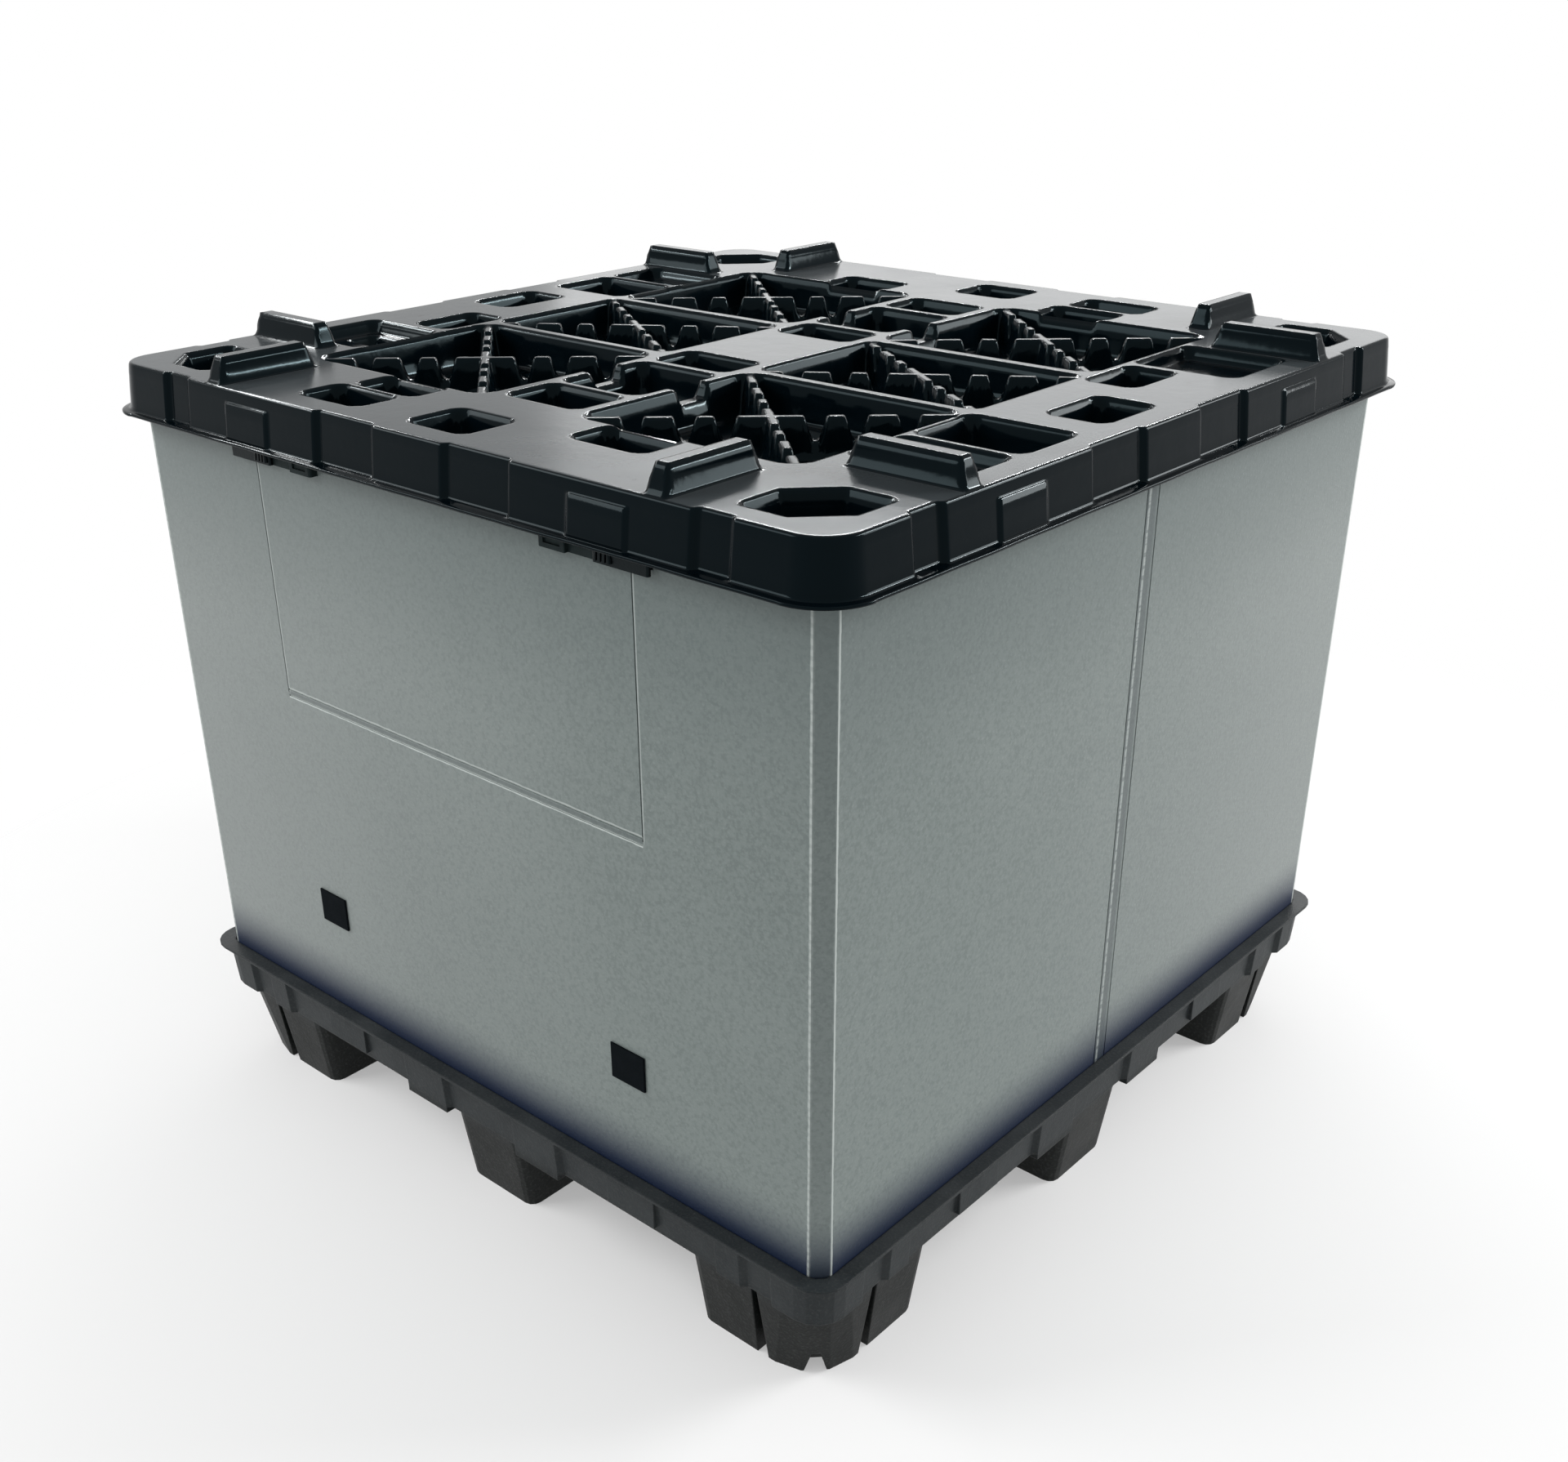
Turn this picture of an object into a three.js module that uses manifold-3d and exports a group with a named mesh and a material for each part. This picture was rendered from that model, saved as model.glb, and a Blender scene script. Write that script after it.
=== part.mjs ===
// Sleeve pack container: a formed pallet tray, a folded sleeve with a drop hatch, and a formed lid.
// Millimetres, +Z up, origin on the floor under the middle. The hatch looks along -Y.
import * as THREE from 'three';
import { mergeVertices } from 'three/addons/utils/BufferGeometryUtils.js';
import Module from 'manifold-3d';

const wasm = await Module();
wasm.setup();

// Driving dimensions
const SLEEVE_WIDTH = 1080;      // outside width of the square sleeve
const BOARD = 10;               // thickness of the sleeve board
const CORNER_FOLD = 16;         // leg of the flat strip folded at each corner
const RIM_OVERHANG = 21;        // pallet rim beyond the sleeve, each side
const RIM_HEIGHT = 170;         // floor to the top of the pallet rim
const BAND_HEIGHT = 62;         // depth of the panelled side band
const LID_BASE = 913;           // floor to the underside of the lid flange
const LID_HEIGHT = 59;          // flange underside to the lid's top face
const LID_OVERHANG = 16;        // lid's top face beyond the sleeve, each side
const FLANGE_LIP = 16;          // thin flange beyond the top face, each side
const SHEET = 4;                // formed sheet thickness
const GAP = 0.3;                // air between pieces that touch
const NUB_HEIGHT = 29;          // stacking stops above the lid
const HATCH_WIDTH = 606;        // between the two cuts of the drop hatch
const HINGE_HEIGHT = 606;       // floor to the middle of the hatch crease
const LATCH_LENGTH = 150;
const LATCH_DROP = 20;          // latches' lower edge below the lid flange

const S = SLEEVE_WIDTH / 2;
const RIM_WIDTH = SLEEVE_WIDTH + 2 * RIM_OVERHANG;
const LID_WIDTH = SLEEVE_WIDTH + 2 * LID_OVERHANG;
const FLANGE_WIDTH = LID_WIDTH + 2 * FLANGE_LIP;
const INNER = S - BOARD;
const CHANNEL_FLOOR = RIM_HEIGHT - 56;
const SLEEVE_BOTTOM = CHANNEL_FLOOR + GAP;
const SLEEVE_TOP = LID_BASE + LID_HEIGHT - SHEET - GAP;
const LATCH_BOTTOM = LID_BASE - LATCH_DROP;

const black = new THREE.MeshStandardMaterial({ color: 0x1b1d1e, roughness: 0.32, metalness: 0 });
const charcoal = new THREE.MeshStandardMaterial({ color: 0x3a3c39, roughness: 0.7, metalness: 0 });
const silver = new THREE.MeshStandardMaterial({ color: 0x7f8988, roughness: 0.6, metalness: 0 });
const slider = new THREE.MeshStandardMaterial({ color: 0x0d0e0f, roughness: 0.4, metalness: 0 });
const guide = new THREE.MeshStandardMaterial({ color: 0x33363a, roughness: 0.5, metalness: 0 });
const pad = new THREE.MeshStandardMaterial({ color: 0x14171c, roughness: 0.9, metalness: 0 });

// Solids and booleans

function solid(geometry) {
  for (const name of ['normal', 'uv']) geometry.deleteAttribute(name);
  const merged = mergeVertices(geometry);
  return new wasm.Manifold(new wasm.Mesh({
    numProp: 3,
    vertProperties: new Float32Array(merged.attributes.position.array),
    triVerts: new Uint32Array(merged.index.array),
  }));
}

// A solid through a stack of levels, each { outline, z } with the same number of points.
function loft(levels) {
  const n = levels[0].outline.length;
  const points = levels.flatMap(({ outline, z }) => outline.flatMap(([x, y]) => [x, y, z]));
  const faces = [];
  for (let k = 0; k + 1 < levels.length; k++) {
    for (let i = 0; i < n; i++) {
      const a = k * n + i;
      const b = k * n + (i + 1) % n;
      faces.push(a, b, b + n, a, b + n, a + n);
    }
  }
  const cap = (level, base, flip) => {
    const ring = level.outline.map(([x, y]) => new THREE.Vector2(x, y));
    for (const [a, b, c] of THREE.ShapeUtils.triangulateShape(ring, [])) {
      faces.push(...(flip ? [base + a, base + c, base + b] : [base + a, base + b, base + c]));
    }
  };
  cap(levels[0], 0, true);
  cap(levels.at(-1), (levels.length - 1) * n, false);
  const geometry = new THREE.BufferGeometry();
  geometry.setAttribute('position', new THREE.Float32BufferAttribute(points, 3));
  geometry.setIndex(faces);
  return solid(geometry);
}

// A straight solid: the outline extruded from one height to another.
function prism(outline, z0, z1) {
  const shape = new THREE.Shape(outline.map(([x, y]) => new THREE.Vector2(x, y)));
  return solid(new THREE.ExtrudeGeometry(shape, { depth: z1 - z0, bevelEnabled: false }).translate(0, 0, z0));
}

function block(x0, x1, y0, y1, z0, z1) {
  const box = new THREE.BoxGeometry(x1 - x0, y1 - y0, z1 - z0);
  return solid(box.translate((x0 + x1) / 2, (y0 + y1) / 2, (z0 + z1) / 2));
}

const joined = (solids) => wasm.Manifold.union(solids);

// The same solid at both ends of the sleeve pack, turned half a turn about the upright axis.
const bothEnds = (solids) => solids.flatMap((s) => [s, s.rotate([0, 0, 180])]);
const fourSides = (solids) => solids.flatMap((s) => [0, 90, 180, 270].map((a) => s.rotate([0, 0, a])));

// A rectangle whose corners are arcs of the given radii, from the lower left anticlockwise.
function roundedBox(x0, x1, y0, y1, radii, steps = 3) {
  const corners = [[x0, y0, 1, 1], [x1, y0, -1, 1], [x1, y1, -1, -1], [x0, y1, 1, -1]];
  return corners.flatMap(([x, y, sx, sy], k) => {
    const r = radii[k];
    return Array.from({ length: steps + 1 }, (_, i) => {
      const a = Math.PI * (1 + k / 2) + (Math.PI / 2) * (i / steps);
      return [x + sx * r + r * Math.cos(a), y + sy * r + r * Math.sin(a)];
    });
  });
}

// A rectangle with two straight corner cuts (lower left and upper right) and two small ones.
function cutCornerBox(x0, x1, y0, y1, large, small) {
  return roundedBox(x0, x1, y0, y1, [large, small, large, small], 1);
}

const square = (half, radius, steps) => roundedBox(-half, half, -half, half, Array(4).fill(radius), steps);

// A square outline whose sides step in by `depth` between the panels. Each panel is [from, to]
// measured from the middle of a side; `slope` is the length of the step itself.
function panelled(half, radius, depth, panels, slope = 6, steps = 4) {
  const side = [];
  const step = (t, from, to) => side.push([t - slope / 2, from], [t + slope / 2, to]);
  const ranges = [...panels.map(([a, b]) => [-b, -a]).reverse(), ...panels];
  const merged = ranges.filter(([a]) => a !== 0).map(([a, b]) => (b === 0 ? [a, -a] : [a, b]));
  merged.forEach(([a, b]) => {
    if (a > -half) step(a, depth, 0);
    if (b < half) step(b, 0, depth);
  });
  const points = [];
  for (let k = 0; k < 4; k++) {
    const turn = new THREE.Vector2();
    const place = (x, y) => {
      turn.set(x, y).rotateAround(new THREE.Vector2(), (k * Math.PI) / 2);
      points.push([turn.x, turn.y]);
    };
    side.forEach(([t, d]) => place(t, -half + d));
    for (let i = 0; i <= steps; i++) {
      const a = -Math.PI / 2 + (Math.PI / 2) * (i / steps);
      place(half - radius + radius * Math.cos(a), -half + radius + radius * Math.sin(a));
    }
  }
  return points;
}

// A pocket pressed down from a level: the outline tapers as it goes down.
function pocket(box, radii, top, depth, { grow = 0, taper = 0.09, steps = 2, outline = roundedBox } = {}) {
  const [x0, x1, y0, y1] = box;
  const at = (inset) => {
    const g = grow - inset;
    const rim = radii.map((r) => Math.max(r + g, 2));
    return outline(x0 - g, x1 + g, y0 - g, y1 + g, rim, steps);
  };
  const lift = grow > 0 ? -0.5 : 1;
  return loft([
    { outline: at(depth * taper), z: top - depth - grow },
    { outline: at(0), z: top + lift },
  ]);
}

function toMesh(name, solid, material, position = [0, 0, 0]) {
  const { numProp, vertProperties, triVerts } = solid.getMesh();
  const positions = new Float32Array((vertProperties.length / numProp) * 3);
  for (let i = 0; i < positions.length / 3; i++) {
    positions.set(vertProperties.subarray(i * numProp, i * numProp + 3), i * 3);
  }
  let geometry = new THREE.BufferGeometry();
  geometry.setAttribute('position', new THREE.BufferAttribute(positions, 3));
  geometry.setIndex(Array.from(triVerts));
  geometry = mergeVertices(geometry, 1e-4);
  geometry.computeVertexNormals();
  const mesh = new THREE.Mesh(geometry, material);
  mesh.name = name;
  mesh.position.set(...position);
  return mesh;
}

// Pallet: one formed sheet with a channel for the sleeve, a panelled band and nine cup feet
function makePallet() {
  const rim = RIM_WIDTH / 2;
  const bandBottom = RIM_HEIGHT - BAND_HEIGHT;
  const deck = RIM_HEIGHT - 24;
  const wallFace = S + 1;                 // inner face of the band, around the sleeve
  const channel = INNER - 2;              // inner side of the channel
  const bandTop = S + 12;
  const bandLow = S + 8;
  const panels = [[62, 144], [395, 436], [476, Infinity]];

  const band = loft([
    { outline: panelled(bandLow, 38, 6, panels), z: bandBottom },
    { outline: panelled(bandTop, 40, 6, panels), z: RIM_HEIGHT - 2 },
  ]);
  const flange = prism(square(rim, 36, 5), RIM_HEIGHT - 3, RIM_HEIGHT);
  const well = prism(square(wallFace, 20, 3), CHANNEL_FLOOR, RIM_HEIGHT + 1);
  const under = prism(square(channel - SHEET, 24, 3), bandBottom - 1, CHANNEL_FLOOR + 1);
  const raised = prism(square(channel, 24, 3), bandBottom, deck);
  const hollow = prism(square(channel - SHEET, 24, 3), bandBottom - 1, deck - SHEET);

  // Band details: the two low panels beside each middle foot and the two label fields per side.
  const details = fourSides([-1, 1].flatMap((side) => {
    const span = (a, b) => [Math.min(side * a, side * b), Math.max(side * a, side * b)];
    const low = block(...span(65, 141), -bandLow, -bandLow + 14, bandBottom - 8, bandBottom + 2);
    const field = block(...span(227, 303), -bandLow - 0.5, -bandLow + 9, bandBottom + 9, RIM_HEIGHT - 14);
    return [low, field];
  }));

  // Feet: outer cups, the open space inside them, and the grooves that split the corner feet.
  const outerTop = S - 1;
  const outerLow = S - 17;
  const neckTop = channel - 1;
  const foot = (low, top, lowRadii, topRadii) => loft([
    { outline: roundedBox(...low, lowRadii), z: 0 },
    { outline: roundedBox(...top, topRadii), z: bandBottom + SHEET - 1 },
  ]);
  const neck = (x0, x1, y0, y1) => prism(roundedBox(x0, x1, y0, y1, Array(4).fill(14)), bandBottom - 2, deck - 1);
  const space = (low, top, lowRadii, topRadii) => loft([
    { outline: roundedBox(...low, lowRadii), z: SHEET },
    { outline: roundedBox(...top, topRadii), z: deck + 1 },
  ]);
  const corner = {
    low: [350, outerLow, 350, outerLow], top: [345, outerTop, 345, outerTop],
    lowRadii: [10, 14, 62, 14], topRadii: [14, 16, 54, 16],
    spaceLow: [355, outerLow - 5, 355, outerLow - 5], spaceTop: [350, neckTop - 5, 350, neckTop - 5],
    neck: [345, neckTop, 345, neckTop],
  };
  const edge = {
    low: [-58, 58, 366, outerLow], top: [-62, 62, 360, outerTop],
    lowRadii: Array(4).fill(14), topRadii: Array(4).fill(16),
    spaceLow: [-53, 53, 371, outerLow - 5], spaceTop: [-57, 57, 365, neckTop - 5],
    neck: [-62, 62, 360, neckTop],
  };
  const centre = {
    low: [-58, 58, -58, 58], top: [-62, 62, -62, 62],
    lowRadii: Array(4).fill(14), topRadii: Array(4).fill(16),
    spaceLow: [-53, 53, -53, 53], spaceTop: [-57, 57, -57, 57],
    neck: [-62, 62, -62, 62],
  };
  const cups = (f) => [foot(f.low, f.top, f.lowRadii, f.topRadii), neck(...f.neck)];
  const spaces = (f) => [space(f.spaceLow, f.spaceTop, f.lowRadii.map((r) => Math.max(r - 4, 6)), f.topRadii)];
  const grooveAt = (grow) => {
    const one = loft([
      { outline: roundedBox(436 - grow, 452 + grow, outerLow - 26 - grow, S + 20, [5, 1, 1, 5], 2), z: -1 },
      { outline: roundedBox(440 - grow, 448 + grow, outerLow - 14 - grow, S + 20, [3, 1, 1, 3], 2),
        z: bandBottom - 3 + grow },
    ]);
    // A low arch between the two prongs of the corner itself.
    const arch = loft([
      { outline: roundedBox(-13 - grow, 13 + grow, -40, 22 + grow, Array(4).fill(4), 2), z: -1 },
      { outline: roundedBox(-5 - grow, 5 + grow, -40, 10 + grow, Array(4).fill(3), 2), z: 30 + grow },
    ]).rotate([0, 0, 135]).translate([outerLow - 18, outerLow - 18, 0]);
    return fourSides([one, one.mirror([1, 0, 0]), arch]);
  };

  const outside = joined([band, flange, raised, ...details,
    ...fourSides([...cups(corner), ...cups(edge)]), ...cups(centre)]);
  const feetSpace = joined([...fourSides([...spaces(corner), ...spaces(edge)]), ...spaces(centre)])
    .subtract(joined(grooveAt(SHEET)));
  const channelRing = well.subtract(prism(square(channel, 24, 3), CHANNEL_FLOOR - 1, RIM_HEIGHT + 2));
  const aboveDeck = prism(square(wallFace, 20, 3), deck, RIM_HEIGHT + 1);
  const underDeck = joined([under, hollow]).subtract(joined([
    ...fourSides([...cups(corner), ...cups(edge)]), ...cups(centre)]));
  return outside.subtract(joined([channelRing, aboveDeck, underDeck, feetSpace, ...grooveAt(0)]));
}

// Sleeve: one board folded to a square, with creases, a drop hatch and two latch notches
function makeSleeve() {
  const chamfered = (half, leg) => roundedBox(-half, half, -half, half, Array(4).fill(leg), 1);
  const innerLeg = CORNER_FOLD - BOARD * (2 - Math.SQRT2);
  const tube = prism(chamfered(S, CORNER_FOLD), SLEEVE_BOTTOM, SLEEVE_TOP)
    .subtract(prism(chamfered(INNER, innerLeg), SLEEVE_BOTTOM - 1, SLEEVE_TOP + 1));

  const hatch = HATCH_WIDTH / 2;
  const cut = 1.6;
  const kerf = (x) => block(x - cut / 2, x + cut / 2, -S - 1, -INNER + 1, HINGE_HEIGHT, SLEEVE_TOP + 1);
  const crease = (z) => block(-hatch, hatch, -S - 1, -S + 1, z - 1, z + 1);
  // Fold lines halfway along the two plain sides, each a pressed strip between two grooves.
  const fold = (side) => [-12, 12].map((y) => {
    const face = side * S;
    return block(face - 1, face + 1, y - 1, y + 1, SLEEVE_BOTTOM - 1, SLEEVE_TOP + 1);
  });
  // A slot across each cut, in which the neck of a latch runs.
  const slot = block(...slotEnds, -S - 1, -INNER + 1, LATCH_BOTTOM + NECK.low, LATCH_BOTTOM + NECK.high);
  return tube.subtract(joined([kerf(-hatch), kerf(hatch), crease(HINGE_HEIGHT - 4), crease(HINGE_HEIGHT + 4),
    ...fold(1), ...fold(-1), slot, slot.mirror([1, 0, 0])]));
}

// Latches: a guide plate fixed to the hatch, and a slider below the lid flange. The slider's neck
// runs in a slot through the board and carries a foot behind it, which holds the hatch shut.
const CUT_TO_END = 32;                  // how far a closed latch reaches past the hatch's cut
const SLIDER_LENGTH = 74;
const TRAVEL = 36;                      // takes the foot clear of the cut
const GUIDE_THICKNESS = 5;
const LATCH_DEPTH = 10;                 // how far a latch stands out from the sleeve
const NECK = { from: 46, to: 70, low: 4, high: 14 };    // along the slider, and above its lower edge
const latchOuter = HATCH_WIDTH / 2 + CUT_TO_END;
const latchInner = latchOuter - LATCH_LENGTH;
const sliderStart = latchOuter - SLIDER_LENGTH;
const slotEnds = [sliderStart + NECK.from - TRAVEL - 1, sliderStart + NECK.to + 1];

function makeGuide() {
  const length = LATCH_LENGTH - CUT_TO_END - 2;
  const thick = LATCH_LENGTH - SLIDER_LENGTH - TRAVEL - 2;
  const plate = block(0, length, -GUIDE_THICKNESS, 0, 0, 44);
  // The inner end is as deep as the slider, with a shallow window and rounded front corners.
  const housing = prism(roundedBox(0, thick, -LATCH_DEPTH, 0, [3, 1, 1, 1], 2), 0, 44);
  const window = block(8, thick - 6, -LATCH_DEPTH - 1, -LATCH_DEPTH + 2, 5, 14);
  const slot = block(slotEnds[0] - latchInner, length + 1, -GUIDE_THICKNESS - 1, 1, NECK.low, NECK.high);
  return joined([plate, housing]).subtract(joined([window, slot]));
}

function makeSlider() {
  const height = LATCH_DROP - 1.3;
  const front = -LATCH_DEPTH;
  const back = -GUIDE_THICKNESS - 2 * GAP;
  const bar = prism(roundedBox(0, SLIDER_LENGTH, front, back, [2, 2, 0.5, 0.5], 2), 0, height);
  const neck = block(NECK.from, NECK.to, back - 1, BOARD + GAP + 1, NECK.low + GAP, NECK.high - GAP);
  const foot = block(NECK.from - 6, SLIDER_LENGTH, BOARD + GAP, BOARD + GAP + 4, 0, height);
  // Thumb grip at the inner end, in reach with the lid on.
  const grip = loft([
    { outline: roundedBox(3, 27, front - 3, front + 2, [2, 2, 1, 1], 2), z: 3 },
    { outline: roundedBox(5, 25, front - 2, front + 2, [2, 2, 1, 1], 2), z: height - 3 },
  ]);
  const grooves = [8, 14, 20].map((x) => block(x, x + 2.5, front - 4, front - 1, 2, height - 2));
  return joined([bar, neck, foot, grip]).subtract(joined(grooves));
}

// Lid: a formed sheet with a panelled skirt, stacking stops, plug pockets and ribbed cells
const strip = 60;                        // half width of the strip between the two rows of cells
const cellColumns = [76, 380];
const cellRows = [[-104, 104], [122, 392]];

function makeLid() {
  const top = LID_HEIGHT;
  const half = LID_WIDTH / 2;
  const panels = [[0, 58], [155, 400], [445, Infinity]];
  const skirtAt = (h, z) => ({ outline: panelled(h, 44, 6, panels, 5), z });
  const outer = loft([skirtAt(half + 6, 0), skirtAt(half + 1, top - 6), skirtAt(half - 1, top - 2),
    skirtAt(half - 4, top)]);
  const flange = prism(square(FLANGE_WIDTH / 2, 56, 6), 0, 3.5);
  const inner = loft([skirtAt(half + 6 - SHEET, -1), skirtAt(half + 1 - SHEET, top - 6 - SHEET / 2),
    skirtAt(half - 4 - SHEET, top - SHEET)]);
  // A raised field on each outer panel of the skirt.
  const fieldAt = (side, face, z) => ({ outline: roundedBox(side * 280 - 40, side * 280 + 40,
    -half - face, -half + 3, Array(4).fill(1.5), 1), z });
  const fields = fourSides([-1, 1].map((side) => loft([fieldAt(side, 8.5, 1), fieldAt(side, 4.6, top - 14)])));

  // Stacking stops: two thin walls at each corner, open below.
  const nub = (x0, x1, y0, y1, along, grow) => {
    const g = -grow * (SHEET - 0.5);
    const ends = along === 'x' ? [12, 4] : [4, 12];
    const at = (ex, ey, z) => ({ outline: roundedBox(x0 - g + ex, x1 + g - ex, y0 - g + ey, y1 + g - ey,
      Array(4).fill(3), 1), z });
    return loft([at(0, 0, grow ? top - SHEET - 1 : top - 2), at(...ends, top + NUB_HEIGHT + g)]);
  };
  const cornerNubs = (grow) => {
    const a = nub(336, 362, -half + 3, -420, 'y', grow);
    const b = nub(412, half - 3, -362, -336, 'x', grow);
    return [a, b].flatMap((s) => [s, s.mirror([1, 0, 0]), s.mirror([0, 1, 0]), s.rotate([0, 0, 180])]);
  };

  // Pockets. `box` is [x0, x1, y0, y1] on the lid's top face; every one repeats at the other end.
  const cups = [];
  const cuts = [];
  const press = (box, depth, options = {}) => {
    const radii = Array(4).fill(options.radius ?? 14);
    cups.push(pocket(box, radii, top, depth, { ...options, grow: SHEET }));
    cuts.push(pocket(box, radii, top, depth, options));
  };
  const cutCorner = (x0, x1, y0, y1, radii) => cutCornerBox(x0, x1, y0, y1, radii[0], radii[1]);
  const deep = 40;

  // The strip between the cells
  press([-57, 57, 302, 374], deep);
  press([-strip, strip, 158, 288], deep);
  press([-92, 92, 190, 240], 18, { radius: 6 });
  press([-57, 57, 78, 142], deep);
  // The borders
  press([132, 238, -456, -396], deep);
  press([-228, -124, -448, -396], deep);
  press([-240, -134, -516, -458], deep);
  press([-46, 46, -520, -446], deep);
  press([444, 516, -72, 32], deep);
  press([392, 456, 86, 184], deep);
  press([386, 518, 200, 326], 16);
  press([400, 504, 214, 262], 34);
  press([386, 518, -224, -122], deep);
  press([386, 518, -330, -236], 16);
  press([400, 504, -318, -282], 34);
  // The corners, cut across at the inner and the outer corner
  const cornerBox = [420, 520, 420, 520];
  const cornerPocket = (grow) => {
    const one = pocket(cornerBox, [42, 10, 42, 10], top, deep, { grow, outline: cutCorner });
    return [one, one.mirror([1, 0, 0])];
  };
  cups.push(...cornerPocket(SHEET));
  cuts.push(...cornerPocket(0));

  // Cells with two crossed ribs, each rib a row of teeth parted by V notches.
  const cellDepth = 46;
  const floor = top - cellDepth;
  const [c0, c1] = cellColumns;
  const ribVoids = [];
  const cell = (y0, y1, corners) => {
    const box = [c0, c1, y0, y1];
    const cx = (c0 + c1) / 2;
    const cy = (y0 + y1) / 2;
    const length = Math.hypot(c1 - c0, y1 - y0);
    const angle = Math.atan2(y1 - y0, c1 - c0) * 180 / Math.PI;
    cups.push(pocket(box, Array(4).fill(corners), top, cellDepth, { grow: SHEET }));
    const ribs = [angle, -angle].map((a) => rib(length, floor, top, 0).rotate([0, 0, a]).translate([cx, cy, 0]));
    cuts.push(pocket(box, Array(4).fill(corners), top, cellDepth).subtract(joined(ribs)));
    const clear = pocket(box, Array(4).fill(corners), top, cellDepth, { taper: 0.2 });
    ribVoids.push(...[angle, -angle].map((a) => rib(length - 90, floor, top, SHEET - 0.5)
      .rotate([0, 0, a]).translate([cx, cy, 0]).intersect(joined([clear,
        block(c0 + 12, c1 - 12, y0 + 12, y1 - 12, floor - SHEET - 2, floor + 1)]))));
  };
  cell(...cellRows[0], 14);
  cell(...cellRows[1], 26);
  cell(-cellRows[1][1], -cellRows[1][0], 26);

  // Two drilled holes near the long borders
  const drill = solid(new THREE.CylinderGeometry(3, 3, SHEET * 3, 12).rotateX(Math.PI / 2)
    .translate(490, 146, top));

  const shell = joined([outer, flange, ...fields, ...cornerNubs(0)])
    .subtract(joined([inner, ...cornerNubs(1)]));
  return joined([shell, ...bothEnds(cups)])
    .subtract(joined(bothEnds([...cuts, ...ribVoids, drill])));
}

// One toothed rib along X, centred, standing on the cell floor. `inset` shrinks it all round.
function rib(length, floor, top, inset) {
  const notches = [47, 90, 145];          // from the crossing outwards
  const notchDepth = 28;
  const crown = top - 2 - inset;
  const valley = crown - notchDepth;
  const profile = [];
  const edge = (x, z) => profile.push([x, z]);
  edge(-length / 2, floor - (inset ? SHEET + 2 : 1));
  edge(length / 2, floor - (inset ? SHEET + 2 : 1));
  edge(length / 2, crown);
  const reach = length / 2 - 12;
  for (const x of [...notches, ...notches.map((n) => -n)].sort((a, b) => b - a)) {
    if (Math.abs(x) > reach) continue;
    edge(x + 10 + inset / 2, crown);
    edge(x + 2 + inset, valley);
    edge(x - 2 - inset, valley);
    edge(x - 10 - inset / 2, crown);
  }
  edge(-length / 2, crown);
  const shape = new THREE.Shape(profile.map(([x, z]) => new THREE.Vector2(x, z)));
  const width = 20 - 2 * inset;
  return solid(new THREE.ExtrudeGeometry(shape, { depth: width, bevelEnabled: false })
    .rotateX(Math.PI / 2).translate(0, width / 2, 0));
}

// Keeper pads: thin squares where the latches land when the hatch hangs open
function makePad() {
  return prism(roundedBox(-26, 26, -2.5, 0, [1, 1, 0.5, 0.5], 1), 0, 44);
}

// Assembly
const container = new THREE.Group();
container.add(toMesh('pallet', makePallet(), charcoal));
container.add(toMesh('sleeve', makeSleeve(), silver));
container.add(toMesh('lid', makeLid(), black, [0, 0, LID_BASE]));
for (const [side, word] of [[-1, 'left'], [1, 'right']]) {
  const mirrored = (solid) => (side < 0 ? solid.mirror([1, 0, 0]) : solid);
  const face = -S - GAP;
  container.add(toMesh(`latch_guide_${word}`, mirrored(makeGuide()), guide,
    [side * latchInner, face, LATCH_BOTTOM]));
  container.add(toMesh(`latch_slider_${word}`, mirrored(makeSlider()), slider,
    [side * sliderStart, -S, LATCH_BOTTOM]));
  container.add(toMesh(`keeper_pad_${word}`, makePad(), pad, [side * 266, face, 295]));
}

export default container;
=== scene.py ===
"""Sleeve pack container: a formed pallet tray, a folded board sleeve with a hatch, a formed lid."""

import bpy
import numpy as np
from mathutils import Matrix, Vector


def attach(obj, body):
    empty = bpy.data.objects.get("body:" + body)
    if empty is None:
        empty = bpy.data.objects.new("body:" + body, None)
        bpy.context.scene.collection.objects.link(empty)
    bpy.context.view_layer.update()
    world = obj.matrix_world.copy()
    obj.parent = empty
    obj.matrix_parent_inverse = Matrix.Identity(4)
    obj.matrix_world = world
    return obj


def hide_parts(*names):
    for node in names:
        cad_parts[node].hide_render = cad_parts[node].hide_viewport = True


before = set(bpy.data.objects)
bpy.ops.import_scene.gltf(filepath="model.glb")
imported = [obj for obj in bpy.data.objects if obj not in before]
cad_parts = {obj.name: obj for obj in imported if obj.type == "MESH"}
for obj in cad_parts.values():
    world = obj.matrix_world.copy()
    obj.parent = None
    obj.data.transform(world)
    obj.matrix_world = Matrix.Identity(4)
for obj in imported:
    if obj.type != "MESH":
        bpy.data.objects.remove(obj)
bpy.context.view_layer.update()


# Pallet tray
# One vacuum-formed sheet of grained charcoal plastic: a rim, a panelled band and nine cup feet.
# The forming rounds its corners, and handling has greyed the grain in clouds.
TRAY_DARK, TRAY_WORN = (0.013, 0.017, 0.019), (0.029, 0.034, 0.036)
TRAY_FEET = (0.0035, 0.0050, 0.0046)    # the feet are darker than the band
TRAY_GRAIN = (0.055, 0.060, 0.058)
FEET_TOP, BAND_FOOT = 0.085, 0.120      # heights between which the feet's tone turns into the band's
TRAY_EDGE = 0.003                       # radius of the formed corners


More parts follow.
